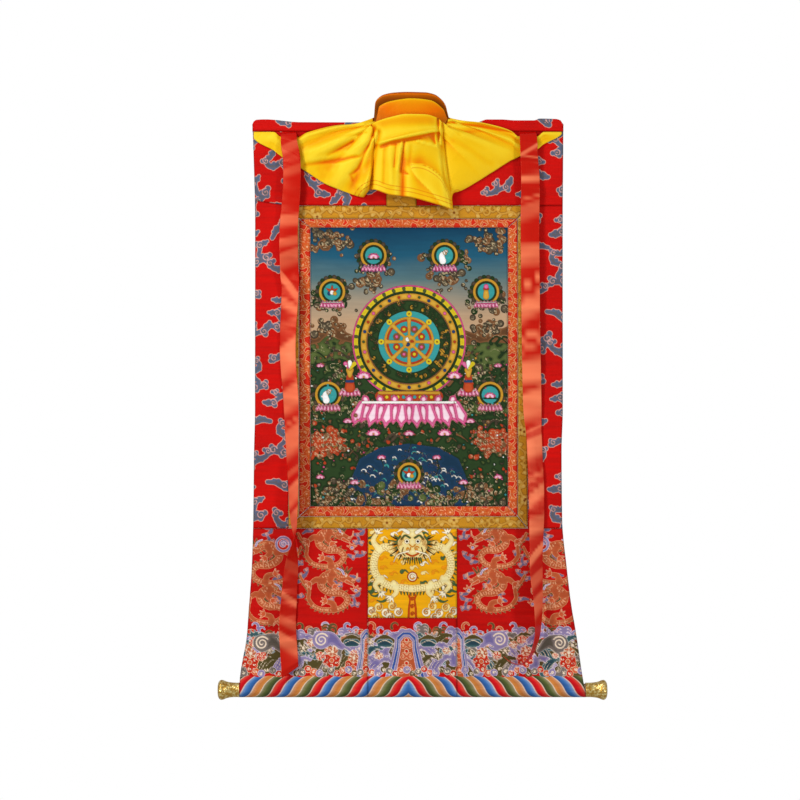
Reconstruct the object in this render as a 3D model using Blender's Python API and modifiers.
"""A thangka scroll painting as it hangs: a painted cloth in a red and a gold brocade frame, red cloud brocade
above and beside it, a patterned foot in three widths wrapped round a rod with turned brass ends, two ribbons,
and a yellow silk veil gathered up into a hood at the middle of the top edge.

The cloth hangs in the XZ plane and faces -Y. The origin is the middle of its top edge. Tables are in
millimetres: x to the right, height upwards from the top edge, forward towards the viewer."""

import math

import bmesh
import bpy
from mathutils import Vector

MM = 0.001
SEAM = 0.3
BROCADE = 2.0
CANVAS = 1.4
SILK = 1.2
SATIN = 1.0
PATCH = 1.0


def table(columns, *rows):
    """Rows of a table, kept as one list for each named column."""
    return {name: [row[i] for row in rows] for i, name in enumerate(columns.split())}


CLOTH_EDGE = table(
    "height left right",
    (0, -334.3, 334.3),
    (-60, -332.5, 334.0),
    (-236, -328.7, 333.0),
    (-624, -328.7, 333.0),
    (-710, -330.7, 330.5),
    (-860, -332.6, 332.0),
    (-963, -336.0, 341.8),
    (-1043, -341.9, 351.5),
    (-1107, -346.4, 362.2),
    (-1206, -361.2, 376.6),
    (-1241, -361.8, 381.6),
)
BAND_TOP = table(
    "x height",
    (-334.3, -9),
    (-331, -2),
    (-325, 1.3),
    (-307, 2.1),
    (-232, -3.9),
    (-82, -4.3),
    (0, -2),
    (90, -1),
    (147, -4.3),
    (170, 1.9),
    (200, 1.9),
    (232, 0),
    (272, 0),
    (283, 3.8),
    (318, 3),
    (328, 0),
    (334.3, -9),
)
BAND_FOOT = -24.7

# The frames' outer edges, from the gold border inwards, and the painting's.
FRAMES = table(
    "left right top bottom",
    (-256.9, 258.0, -183.8, -878.3),
    (-234.4, 236.5, -212.2, -852.5),
    (-209.8, 215.0, -231.1, -830.5),
)
FOOT_SEAMS = (-86.0, 105.3)
DOOR_FOOT = -1070.7

ROD_RADIUS = 13.5
ROD_HEIGHT = -1225.5
ROD_REACH = (-384.0, 408.0)
ROLL_STEPS = 9
ROLL_RADIUS = (ROD_RADIUS + SEAM) / math.cos(math.radians(221) / ROLL_STEPS / 2) + BROCADE / 2
ROLL_APEX = -1180.0
HEM_HEIGHT = -1160.0
HIDDEN_TOP = -11.0

# How many cells each grid has along and across, fine enough for the slow waves of the cloth.
STRIP_CELLS = {"top": (12, 1), "right": (1, 15), "bottom": (12, 1), "left": (1, 15)}
TOP_PANEL_CELLS = 16
PAINTING_CELLS = (9, 13)
PATCH_CELLS = (3, 3)
DOOR_CELLS = (6, 6)
SIDE_FOOT_CELLS = 8
CENTRE_FOOT_CELLS = 6
TURNED_SIDES = 24

CREASES = table(
    "height forward spread",
    (-69, 1.6, 9),
    (-161, -1.8, 9),
    (-894, 2.2, 11),
    (-1026, -2.4, 12),
    (-1081, 2.4, 11),
)


def blend(start, end, share):
    return start + (end - start) * share


def smooth_step(share):
    share = min(max(share, 0.0), 1.0)
    return share * share * (3 - 2 * share)


def through(lookup, by, column, at):
    """Reads a column on a smooth curve through the table's rows, which never swings past them."""
    places = lookup[by]
    values = lookup[column]
    if places[0] > places[-1]:
        places = places[::-1]
        values = values[::-1]
    at = min(max(at, places[0]), places[-1])
    last = len(places) - 2
    index = 0
    while index < last and at > places[index + 1]:
        index += 1

    def slope(i):
        if i <= 0 or i >= len(places) - 1:
            return 0.0
        before = (values[i] - values[i - 1]) / (places[i] - places[i - 1])
        after = (values[i + 1] - values[i]) / (places[i + 1] - places[i])
        if before * after <= 0:
            return 0.0
        return 2 * before * after / (before + after)

    width = places[index + 1] - places[index]
    t = (at - places[index]) / width
    rise = values[index + 1] - values[index]
    eased = values[index] + rise * t * t * (3 - 2 * t)
    start = slope(index) * width * t * (1 - t) ** 2
    end = slope(index + 1) * width * t * t * (1 - t)
    return eased + start - end


def relief(x, height):
    """How far the hanging cloth stands forward of its plane: slow waves, the skirt's flutes and soft creases."""
    below_band = smooth_step((-30 - height) / 120)
    above_rod = smooth_step((height - ROLL_APEX - 6) / 60)
    side = min(abs(x) / 335, 1.0)
    wave = (0.5 + 1.6 * side**2) * math.sin(height / 118 + 0.7)
    wave += 1.0 * math.sin(x / 140 + height / 260)
    skirt = smooth_step((-880 - height) / 160)
    wave += 2.6 * skirt * math.sin(x / 47 + 0.4)
    for rise, place, spread in zip(CREASES["forward"], CREASES["height"], CREASES["spread"]):
        wave += rise * (0.35 + 0.65 * side) * math.exp(-(((height - place) / spread) ** 2))
    return wave * below_band * above_rod


def cloth_material(name, colour, roughness, metallic=0.0):
    material = bpy.data.materials.new(name)
    material.use_nodes = True
    shader = material.node_tree.nodes["Principled BSDF"]
    shader.inputs["Base Color"].default_value = (*colour, 1.0)
    shader.inputs["Roughness"].default_value = roughness
    shader.inputs["Metallic"].default_value = metallic
    material.diffuse_color = (*colour, 1.0)
    return material


def fractions(count):
    return [i / count for i in range(count + 1)]


def spaced(start, end, step):
    """Places from start to end, evenly, about a step apart."""
    count = max(2, round(abs(end - start) / step))
    return [blend(start, end, share) for share in fractions(count)]


def sheet(name, across, down, place, thickness, material):
    """A cut piece of cloth: a grid whose points go where place(across, down) says, made thick."""
    mesh = bpy.data.meshes.new(name)
    grid = bmesh.new()
    columns = len(across) - 1
    rows = len(down) - 1
    bmesh.ops.create_grid(grid, x_segments=columns, y_segments=rows, size=0.5)
    for vertex in grid.verts:
        column = round((vertex.co.x + 0.5) * columns)
        row = round((0.5 - vertex.co.y) * rows)
        x, forward, height = place(across[column], down[row])
        vertex.co = Vector((x, -forward, height)) * MM
    grid.to_mesh(mesh)
    grid.free()
    mesh.shade_smooth()
    mesh.materials.append(material)
    piece = bpy.data.objects.new(name, mesh)
    PARTS.objects.link(piece)
    thicken = piece.modifiers.new("Thickness", "SOLIDIFY")
    thicken.thickness = thickness * MM
    thicken.offset = 0


def inset(corners, gap):
    """A convex outline's corners, each side moved in by gap. They run clockwise as seen from the front."""
    moved = []
    for i, corner in enumerate(corners):
        before = (Vector(corner) - Vector(corners[i - 1])).normalized()
        after = (Vector(corners[(i + 1) % len(corners)]) - Vector(corner)).normalized()
        inward = [Vector((d.y, -d.x)) for d in (before, after)]
        corner_pull = (inward[0] + inward[1]) / (1 + inward[0].dot(inward[1]))
        moved.append(Vector(corner) + corner_pull * gap)
    return moved


def flat_piece(name, corners, across, down, thickness, material, forward=0.0):
    """A four-sided piece, sewn in by all its edges. Corners: top left, top right, bottom right, bottom left."""
    top_left, top_right, bottom_right, bottom_left = inset(corners, SEAM / 2)

    def place(u, v):
        point = top_left.lerp(top_right, u).lerp(bottom_left.lerp(bottom_right, u), v)
        return point.x, relief(point.x, point.y) + forward, point.y

    sheet(name, fractions(across), fractions(down), place, thickness, material)


def box_corners(left, right, top, bottom):
    return [(left, top), (right, top), (right, bottom), (left, bottom)]


def heights_with_creases(top, bottom, step):
    """Row heights for a panel: even steps, with three rows at each crease that crosses it."""
    rows = spaced(top, bottom, step)
    for place, spread in zip(CREASES["height"], CREASES["spread"]):
        if bottom + spread < place < top - spread:
            rows = [row for row in rows if row in (top, bottom) or abs(row - place) > 1.6 * spread]
            rows += [place + spread, place, place - spread]
    return sorted(rows, reverse=True)


# The panels

def make_band(material):
    """The strip folded over the top edge, its two leaves on either side of the top panel."""
    leaf = BROCADE + SEAM
    inside = BAND_FOOT + SEAM
    stations = sorted(set(BAND_TOP["x"]) | {-280, -180, -130, -30, 40, 300})

    def place(x, step):
        top = through(BAND_TOP, "x", "height", x) - BROCADE / 2
        centre = top - leaf
        profile = [
            (leaf, BAND_FOOT),
            (leaf, blend(inside, centre, 0.5)),
            (leaf, centre),
            (leaf * math.cos(math.pi / 4), centre + leaf * math.sin(math.pi / 4)),
            (0.0, top),
            (-leaf * math.cos(math.pi / 4), centre + leaf * math.sin(math.pi / 4)),
            (-leaf, centre),
            (-leaf, blend(inside, centre, 0.5)),
            (-leaf, BAND_FOOT),
        ]
        forward, height = profile[step]
        return x, forward, height

    sheet("top_band", stations, list(range(9)), place, BROCADE, material)


def seam_under_top(x):
    """The top panel's lower seam, which climbs in a straight line beside the frame towards the left edge."""
    return FRAMES["top"][0] + 0.15 * max(FRAMES["left"][0] - x, 0.0)


def make_top_panel(material):
    def place(u, v):
        height = blend(HIDDEN_TOP, FRAMES["top"][0], v)
        left = through(CLOTH_EDGE, "height", "left", height)
        right = through(CLOTH_EDGE, "height", "right", height)
        x = blend(left, right, u)
        low = seam_under_top(x) + SEAM / 2
        height = blend(HIDDEN_TOP, low, v)
        return x, relief(x, height), height

    rows = heights_with_creases(HIDDEN_TOP, FRAMES["top"][0], 34)
    span = FRAMES["top"][0] - HIDDEN_TOP
    down = [(row - HIDDEN_TOP) / span for row in rows]
    low = FRAMES["top"][0]
    left = through(CLOTH_EDGE, "height", "left", low)
    right = through(CLOTH_EDGE, "height", "right", low)
    corner = (FRAMES["left"][0] - left) / (right - left)
    across = [0.0, corner / 3, corner * 2 / 3]
    across += [blend(corner, 1.0, share) for share in fractions(TOP_PANEL_CELLS)]
    sheet("top_panel", across, down, place, BROCADE, material)


def make_side_panel(name, edge, frame_edge, outwards, material):
    """A side panel between the cloth's outer edge and the gold border."""

    def place(u, height):
        outer = through(CLOTH_EDGE, "height", edge, height)
        inner = frame_edge + outwards * SEAM / 2
        x = blend(outer, inner, u)
        at = height
        if height == FRAMES["top"][0]:
            at = seam_under_top(x) - SEAM / 2
        if height == FRAMES["bottom"][0]:
            at = height + SEAM / 2
        return x, relief(x, at), at

    rows = spaced(FRAMES["top"][0], FRAMES["bottom"][0], 46)
    sheet(name, fractions(3), rows, place, BROCADE, material)


def make_frame(prefix, index, cloth):
    """Four mitred strips between one outline of FRAMES and the next."""
    outer = box_corners(*[FRAMES[side][index] for side in ("left", "right", "top", "bottom")])
    inner = box_corners(*[FRAMES[side][index + 1] for side in ("left", "right", "top", "bottom")])
    sides = {
        "top": [outer[0], outer[1], inner[1], inner[0]],
        "right": [inner[1], outer[1], outer[2], inner[2]],
        "bottom": [inner[3], inner[2], outer[2], outer[3]],
        "left": [outer[0], inner[0], inner[3], outer[3]],
    }
    for side, corners in sides.items():
        flat_piece(f"{prefix}_{side}", corners, *STRIP_CELLS[side], BROCADE, cloth)


def foot_profile(front_top):
    """The foot cloth's way down the front, round the rod and up behind it, as (forward, height) points."""
    climb = ROD_HEIGHT - ROLL_APEX
    leaving = math.asin(ROLL_RADIUS / -climb)
    hem = BROCADE + SEAM
    path = [(0.0, height) for height in heights_with_creases(front_top, ROLL_APEX, 38)]
    start = (ROLL_RADIUS * math.cos(leaving), ROD_HEIGHT + ROLL_RADIUS * math.sin(leaving))
    path.append((start[0] * 0.5, blend(ROLL_APEX, start[1], 0.5)))
    turn = math.pi + 2 * leaving
    for i in range(ROLL_STEPS + 1):
        angle = leaving - turn * i / ROLL_STEPS
        forward = ROLL_RADIUS * math.cos(angle)
        path.append((forward, ROD_HEIGHT + ROLL_RADIUS * math.sin(angle)))
    path.append((-blend(start[0], hem, 0.5), blend(start[1], ROLL_APEX, 0.5)))
    path.append((-hem, ROLL_APEX - 3))
    path.append((-hem, HEM_HEIGHT))
    return path


def make_foot_panel(name, left, right, front_top, columns, material):
    """One width of the foot. Its side edges are seams, or the cloth's own outer edge."""
    path = foot_profile(front_top)

    def place(u, step):
        forward, height = path[step]
        behind = forward < 0
        start = through(CLOTH_EDGE, "height", "left", height) if left is None else left + SEAM / 2
        end = through(CLOTH_EDGE, "height", "right", height) if right is None else right - SEAM / 2
        x = blend(start, end, u)
        if step == 0:
            height -= SEAM / 2
        if not behind:
            forward += relief(x, height)
        return x, forward, height

    sheet(name, fractions(columns), list(range(len(path))), place, BROCADE, material)


# The rod and its ends

def make_rod(material):
    bpy.ops.mesh.primitive_cylinder_add(
        vertices=TURNED_SIDES,
        radius=ROD_RADIUS * MM,
        depth=(ROD_REACH[1] - ROD_REACH[0]) * MM,
        location=(sum(ROD_REACH) / 2 * MM, 0, ROD_HEIGHT * MM),
        rotation=(0, math.pi / 2, 0),
    )
    rod = bpy.context.object
    rod.name = "bottom_rod"
    rod.data.name = "bottom_rod"
    rod.data.set_sharp_from_angle(angle=math.radians(40))
    rod.data.materials.append(material)
    for holder in rod.users_collection:
        holder.objects.unlink(rod)
    PARTS.objects.link(rod)


# The end cap's turned outline from the crown to the neck: distance along its axis and radius.
CAP = table(
    "along radius",
    (47.0, 0.0),
    (46.6, 9.0),
    (45.0, 16.0),
    (42.0, 20.0),
    (38.5, 21.4),
    (35.0, 20.8),
    (29.0, 18.2),
    (21.0, 16.3),
    (12.0, 15.5),
    (3.0, 15.4),
    (0.0, 15.7),
)
CAP_BORE = ROD_RADIUS + SEAM


def make_cap(name, neck_x, outwards, rod_end, material):
    """A turned brass cup, pushed over the rod's end."""
    depth = abs(rod_end - neck_x) + SEAM
    outline = list(zip(CAP["radius"], CAP["along"]))
    outline += [(CAP_BORE, 0.0), (CAP_BORE, depth), (0.0, depth)]
    mesh = bpy.data.meshes.new(name)
    profile = bmesh.new()
    points = [profile.verts.new((radius * MM, 0, along * MM)) for radius, along in outline]
    for start, end in zip(points, points[1:]):
        profile.edges.new((start, end))
    profile.to_mesh(mesh)
    profile.free()
    mesh.materials.append(material)
    cap = bpy.data.objects.new(name, mesh)
    PARTS.objects.link(cap)
    turn = cap.modifiers.new("Turning", "SCREW")
    turn.axis = "Z"
    turn.steps = TURNED_SIDES
    turn.render_steps = TURNED_SIDES
    turn.use_merge_vertices = True
    turn.merge_threshold = 0.00001
    turn.use_smooth_shade = True
    cap.location = (neck_x * MM, 0, ROD_HEIGHT * MM)
    cap.rotation_euler = (0, outwards * math.pi / 2, 0)


# The ribbons: a row for each section, with the middle of the ribbon, how far it is turned about its own
# length, in degrees, and how far its middle stands forward.
LEFT_RIBBON = table(
    "x height turn forward width",
    (-255.6, -25.1, 0, 2.3, 31),
    (-255.6, -27.0, 0, 2.3, 31),
    (-255.4, -32, 2, 10.5, 33),
    (-254.6, -52, 6, 15.5, 36),
    (-249, -90, 10, 15.5, 38),
    (-250, -155, 6, 11.5, 38.5),
    (-256, -236, 8, 9.0, 40),
    (-255, -305, -14, 11.0, 40),
    (-253, -372, 20, 12.5, 40),
    (-258, -492, 24, 13.0, 38),
    (-251, -602, 30, 14.5, 38),
    (-248, -711, 44, 18.0, 38),
    (-246, -778, 52, 20.5, 38),
    (-245, -846, 62, 23.0, 38),
    (-243.5, -880, 74, 24.0, 38),
    (-244, -905, 96, 24.0, 38),
    (-247, -935, 122, 22.0, 38),
    (-250, -965, 138, 18.5, 38),
    (-254, -1017, 145, 17.0, 39),
    (-258, -1085, 156, 15.0, 39),
    (-255, -1146, 160, 14.0, 39),
    (-252.5, -1186, 164, 16.0, 38),
)
RIGHT_RIBBON = table(
    "x height turn forward width",
    (257.8, -25.1, 0, 2.3, 36),
    (257.8, -27.0, 0, 2.3, 36),
    (257.9, -32, -3, 10.5, 37),
    (259, -52, -6, 15.5, 38),
    (260, -80, -8, 15.0, 38),
    (263, -134, -5, 11.5, 40),
    (262, -236, 6, 9.5, 40),
    (264, -447, 8, 9.5, 40),
    (267, -612, -8, 10.5, 40),
    (270, -668, -24, 13.0, 38),
    (272, -711, -28, 14.0, 38),
    (276, -821, -26, 14.0, 38),
    (275, -930, -38, 17.0, 37),
    (275.5, -978, -42, 18.5, 37),
    (279, -1030, -54, 21.0, 36),
    (279.5, -1068, -60, 22.0, 34),
    (277, -1107, -66, 22.0, 32),
    (267, -1141, -70, 21.0, 29),
    (252, -1163, -74, 19.5, 26),
    (234, -1169, -78, 17.5, 20),
    (217, -1162, -80, 15.5, 12),
    (205, -1152, -80, 14.0, 5),
)
LEFT_END_CUT = 22.0
RIGHT_END_CUT = 0.0


def ribbon_point(sections, place, u, end_cut):
    """A point on a ribbon: place runs down its rows, u across its width from -0.5 to 0.5."""
    last = len(sections["x"]) - 1
    i = min(int(place), last)
    before = max(i - 1, 0)
    after = min(i + 1, last)
    along = Vector(
        (sections["x"][after] - sections["x"][before], sections["height"][after] - sections["height"][before])
    ).normalized()
    across = Vector((-along.y, along.x))
    turn = math.radians(sections["turn"][i])
    half = sections["width"][i] * u
    cut = end_cut * u if i == last else 0.0
    x = sections["x"][i] + across.x * half * math.cos(turn) + along.x * cut
    height = sections["height"][i] + across.y * half * math.cos(turn) + along.y * cut
    forward = sections["forward"][i] + half * math.sin(turn)
    return x, forward, height


def make_ribbon(name, sections, end_cut, material):
    across = [-0.5, -0.17, 0.17, 0.5]
    down = list(range(len(sections["x"])))

    def place(u, row):
        return ribbon_point(sections, row, u, end_cut)

    sheet(name, across, down, place, SATIN, material)


# The veil. Its hood is a stack of folds across the middle; each row of FOLDS is one fold line, with its two
# ends, how far forward it stands at its middle and at its ends, and its heights at the HOOD_STATIONS.
HOOD_STATIONS = (0.0, 0.06, 0.25, 0.5, 0.75, 0.94, 1.0)
FOLDS = table(
    "bend left right forward ends heights",
    (0, -73, 88, 8, 8, (-7, -12, -20, -24, -20, -12, -1)),
    (1, -73, 88, 13, 10, (2, 44, 54, 59, 55, 30, 3)),
    (-1, -72, 86, 18, 12, (-8, 8, 17, 20, 17, 8, -8)),
    (1, -70, 85, 24, 15, (-4, 28, 42, 47, 42, 20, 0)),
    (-1, -74, 80, 31, 18, (-12, -8, -4, -2, -4, -8, -12)),
    (1, -78, 74, 40, 23, (-10, -6, 5, 12, 11.5, 2, -6)),
    (0, -74, 74, 44, 20, (-22, -22, -18, -16, -14, -16, -20)),
    (0, -71, 75, 46, 16, (-36, -38, -34, -27, -20, -16, -24)),
    (0, -71, 75, 47.5, 12, (-44, -46, -41, -34, -27, -22, -32)),
    (0, -71, 76, 41, 9, (-52, -52, -46, -40, -33, -28, -38)),
)
FOLD_RADIUS = 2.0
DRAPE_ROWS = 8
DRAPE_HEM = table(
    "across x height",
    (0.0, -82.0, -150),
    (0.06, -74.0, -151),
    (0.25, -38.0, -163),
    (0.5, 2.0, -168),
    (0.75, 52.0, -181),
    (0.94, 84.0, -191),
    (1.0, 97.0, -195),
)
DRAPE_PLEATS = table(
    "across forward",
    (0.0, 0),
    (0.06, 15),
    (0.2, 24),
    (0.32, 25),
    (0.42, 19),
    (0.5, 24),
    (0.62, 25),
    (0.75, 27),
    (0.9, 25),
    (0.96, 20),
    (1.0, 8),
)
HOOD_ACROSS = (0.0, 0.03, 0.06, 0.13, 0.2, 0.27, 0.34, 0.42, 0.5)
HOOD_ACROSS += (0.58, 0.67, 0.75, 0.82, 0.9, 0.94, 0.97, 1.0)

# The wings: where the rays from the gathers end, along the lower hem from the tip to the drape, and the upper
# edge, which dips behind the ribbons.
LEFT_HEM = table(
    "share x height",
    (0.0, -331.5, -25.6),
    (0.06, -331.5, -37),
    (0.24, -272, -72),
    (0.4, -232, -100),
    (0.58, -173, -140),
    (0.75, -128, -158),
    (0.88, -104, -165),
    (1.0, -95, -166),
)
RIGHT_HEM = table(
    "share x height",
    (0.0, 330.5, -25.6),
    (0.06, 330.5, -30),
    (0.22, 280, -56),
    (0.38, 242, -74),
    (0.56, 183, -112),
    (0.72, 155, -130),
    (0.88, 112, -153),
    (1.0, 92, -158),
)
LEFT_TOP = table(
    "x height",
    (-331.5, -25.6),
    (-288, -26),
    (-274, -36),
    (-236, -37),
    (-217, -27.5),
    (-142, -11),
    (-84, -8.5),
    (-73, -7),
)
RIGHT_TOP = table(
    "x height",
    (88, -1),
    (98, -2),
    (147, -5),
    (190, -13.5),
    (224, -26),
    (236, -37),
    (278, -36),
    (292, -26),
    (330.5, -25.6),
)
LEFT_PLEATS = table(
    "share forward",
    (0.0, 0),
    (0.1, 7),
    (0.2, 2),
    (0.36, 12),
    (0.5, 1),
    (0.62, 12),
    (0.74, 2),
    (0.9, 24),
    (1.0, 5),
)
RIGHT_PLEATS = table(
    "share forward",
    (0.0, 1),
    (0.07, 7),
    (0.15, 1.5),
    (0.22, 7),
    (0.3, 2),
    (0.45, 12),
    (0.6, 13),
    (0.75, 11),
    (0.9, 7),
    (1.0, 2),
)
WING_STEPS = (0.0, 0.07, 0.15, 0.25, 0.36, 0.47, 0.57, 0.63, 0.7, 0.77, 0.83, 0.91, 1.0)
WING_REST = 4.2


def hood_curve(t):
    """The points down one section of the hood and drape, t of the way across, as (x, forward, height)."""
    stations = {"t": HOOD_STATIONS}
    bulge = math.sin(math.pi * t) ** 0.5
    curve = []
    for i, bend in enumerate(FOLDS["bend"]):
        stations["height"] = FOLDS["heights"][i]
        height = through(stations, "t", "height", t)
        x = blend(FOLDS["left"][i], FOLDS["right"][i], t)
        forward = blend(FOLDS["ends"][i], FOLDS["forward"][i], bulge)
        if bend:
            shrink = blend(0.35, 1.0, bulge)
            radius = FOLD_RADIUS * shrink
            drop = 2.2 * radius * bend * bulge
            curve.append((x, forward - radius, height - drop))
            curve.append((x, forward, height))
            curve.append((x, forward + radius, height - drop))
        else:
            curve.append((x, forward, height))
    start = curve[-1]
    end_x = through(DRAPE_HEM, "across", "x", t)
    end_height = through(DRAPE_HEM, "across", "height", t)
    for row in range(1, DRAPE_ROWS + 1):
        share = row / DRAPE_ROWS
        pleat = 6 + through(DRAPE_PLEATS, "across", "forward", t)
        forward = blend(start[1], pleat, smooth_step(share * 2.2)) - 2.0 * share
        curve.append((blend(start[0], end_x, share), forward, blend(start[2], end_height, share)))
    return curve


VEIL_ROWS = len(hood_curve(0.5))


def wing_point(start, row, s, hem, top, pleats):
    """A point on a wing: s of the way along the ray that leaves the gather at start and ends on the hem."""
    share = row / (VEIL_ROWS - 1)
    end_x = through(hem, "share", "x", share)
    end_height = through(hem, "share", "height", share)
    x = blend(start[0], end_x, s)
    height = blend(start[2], end_height, s)
    straight = blend(start[2], hem["height"][0], (x - start[0]) / (hem["x"][0] - start[0]))
    dip = through(top, "x", "height", x) - straight
    height += dip * (1 - share) ** 3 * min(1.0, 6 * s)
    rest = WING_REST
    if share < 0.03:
        rest = blend(WING_REST, 2.3, smooth_step((s - 0.82) / 0.18))
    forward = rest + (start[1] - rest) * (1 - s) ** 3
    swell = (4 * s * (1 - s)) ** 0.8
    pinch = 1 - 0.8 * math.exp(-(((abs(x) - 256) / 26) ** 2))
    forward += through(pleats, "share", "forward", share) * swell * pinch
    over_band = smooth_step((height + 34) / 10) * smooth_step((318 - abs(x)) / 60)
    forward = max(forward, 6.4 * over_band)
    return x, forward + relief(x, height), height


def make_veil(material):
    hood = [hood_curve(t) for t in HOOD_ACROSS]
    columns = []
    for s in WING_STEPS[:0:-1]:
        columns.append(
            [wing_point(hood[0][r], r, s, LEFT_HEM, LEFT_TOP, LEFT_PLEATS) for r in range(VEIL_ROWS)]
        )
    columns += hood
    for s in WING_STEPS[1:]:
        columns.append(
            [wing_point(hood[-1][r], r, s, RIGHT_HEM, RIGHT_TOP, RIGHT_PLEATS) for r in range(VEIL_ROWS)]
        )

    def place(column, row):
        return columns[column][row]

    sheet("veil", list(range(len(columns))), list(range(VEIL_ROWS)), place, SILK, material)


for old in list(bpy.data.objects):
    bpy.data.objects.remove(old, do_unlink=True)
PARTS = bpy.data.collections.new("thangka_scroll_painting")
bpy.context.scene.collection.children.link(PARTS)

RED_BROCADE = cloth_material("red_cloud_brocade", (0.58, 0.008, 0.008), 0.62)
GOLD_BROCADE = cloth_material("gold_brocade", (0.62, 0.36, 0.05), 0.5)
RED_FRAME_BROCADE = cloth_material("red_scroll_brocade", (0.62, 0.09, 0.05), 0.58)
PAINTED_CANVAS = cloth_material("painted_cotton", (0.1, 0.16, 0.16), 0.7)
DOOR_BROCADE = cloth_material("yellow_door_brocade", (0.9, 0.5, 0.02), 0.55)
FOOT_BROCADE = cloth_material("dragon_brocade", (0.42, 0.14, 0.08), 0.6)
YELLOW_SILK = cloth_material("yellow_silk", (0.9, 0.55, 0.02), 0.38)
RED_SATIN = cloth_material("red_satin", (0.68, 0.01, 0.006), 0.34)
POPLAR = cloth_material("poplar_rod", (0.5, 0.33, 0.18), 0.6)
BRASS = cloth_material("embossed_brass", (0.8, 0.55, 0.16), 0.28, 1.0)

make_band(RED_BROCADE)
make_top_panel(RED_BROCADE)
make_side_panel("side_panel_left", "left", FRAMES["left"][0], -1, RED_BROCADE)
make_side_panel("side_panel_right", "right", FRAMES["right"][0], 1, RED_BROCADE)
make_frame("gold_strip", 0, GOLD_BROCADE)
make_frame("red_strip", 1, RED_FRAME_BROCADE)
PAINTING = box_corners(*[FRAMES[side][2] for side in ("left", "right", "top", "bottom")])
flat_piece("painting", PAINTING, *PAINTING_CELLS, CANVAS, PAINTED_CANVAS)
PATCH_CORNERS = box_corners(-46.2, 18.3, -132.0, -186.5)
flat_piece("gold_patch", PATCH_CORNERS, *PATCH_CELLS, PATCH, GOLD_BROCADE, BROCADE / 2 + PATCH / 2 + SEAM)
DOOR = box_corners(FOOT_SEAMS[0], FOOT_SEAMS[1], FRAMES["bottom"][0], DOOR_FOOT)
flat_piece("door_panel", DOOR, *DOOR_CELLS, BROCADE, DOOR_BROCADE)
SIDE_FOOT_TOP = FRAMES["bottom"][0]
make_foot_panel("lower_panel_left", None, FOOT_SEAMS[0], SIDE_FOOT_TOP, SIDE_FOOT_CELLS, FOOT_BROCADE)
make_foot_panel("lower_panel_centre", *FOOT_SEAMS, DOOR_FOOT, CENTRE_FOOT_CELLS, FOOT_BROCADE)
make_foot_panel("lower_panel_right", FOOT_SEAMS[1], None, SIDE_FOOT_TOP, SIDE_FOOT_CELLS, FOOT_BROCADE)
make_rod(POPLAR)
make_cap("finial_left", CLOTH_EDGE["left"][-1] - 0.5, -1, ROD_REACH[0], BRASS)
make_cap("finial_right", CLOTH_EDGE["right"][-1] + 0.5, 1, ROD_REACH[1], BRASS)
make_ribbon("ribbon_left", LEFT_RIBBON, LEFT_END_CUT, RED_SATIN)
make_ribbon("ribbon_right", RIGHT_RIBBON, RIGHT_END_CUT, RED_SATIN)
make_veil(YELLOW_SILK)
